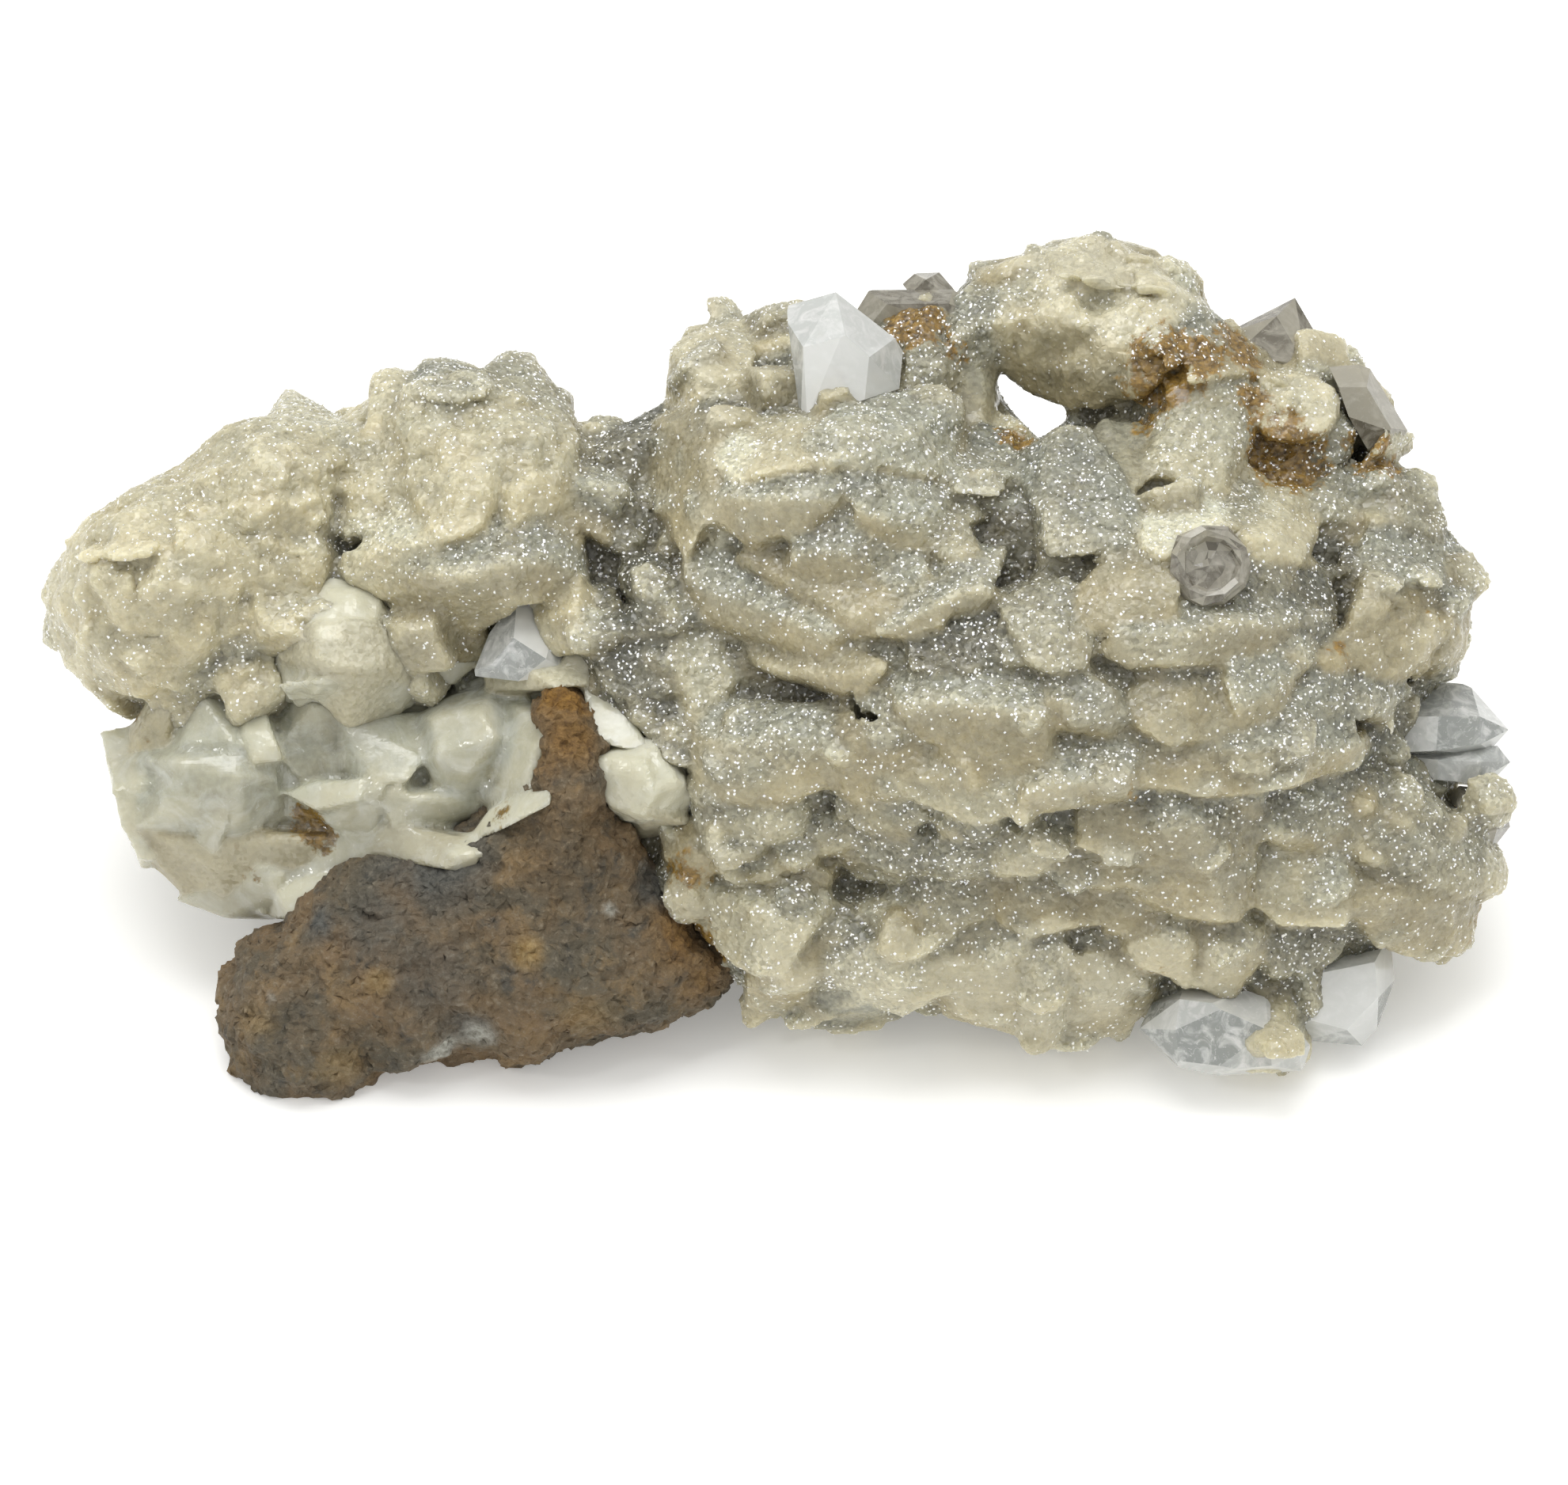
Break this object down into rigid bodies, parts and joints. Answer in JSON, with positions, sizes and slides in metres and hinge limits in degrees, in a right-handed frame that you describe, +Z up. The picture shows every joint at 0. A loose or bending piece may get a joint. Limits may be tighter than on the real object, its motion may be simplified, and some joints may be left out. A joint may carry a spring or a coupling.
{
  "type": "quartz with siderite specimen",
  "caption": "Cabinet specimen of druse-coated quartz blades and bare quartz crystals grown on brown siderite rock, with an open arch, resting on its underside.",
  "frame": {"origin": "centre of the bounding box at floor level", "axes": "+X to the right along the length, +Y to the back, +Z up; the front with the brown rock at the lower left faces -Y"},
  "size_m": [0.1197, 0.0546, 0.0505],
  "materials": {
    "siderite_rock": "rough brown iron-stained rock",
    "druse_coat": "cream to grey sparkling druse",
    "bare_quartz": "pale translucent broken quartz",
    "milky_quartz": "milky white translucent quartz",
    "clear_quartz": "clear to veiled, vitreous",
    "smoky_quartz": "smoky grey, vitreous"
  },
  "bodies": {
    "root": {"siderite_rock": "siderite_rock", "drusy_quartz_crust": "druse_coat", "broken_quartz_left": "bare_quartz", "pale_crystal_left": "milky_quartz", "milky_quartz_chunk": "milky_quartz", "clear_crystal_left": "clear_quartz", "clear_crystal_center": "clear_quartz", "clear_points_right": "clear_quartz", "foot_crystal_center": "clear_quartz", "foot_crystal_right": "clear_quartz", "smoky_point_right": "smoky_quartz", "smoky_crystal_arch": "smoky_quartz", "smoky_crystal_peak": "smoky_quartz", "smoky_crystal_shoulder": "smoky_quartz", "smoky_window_crystal": "smoky_quartz"}
  },
  "joints": []
}
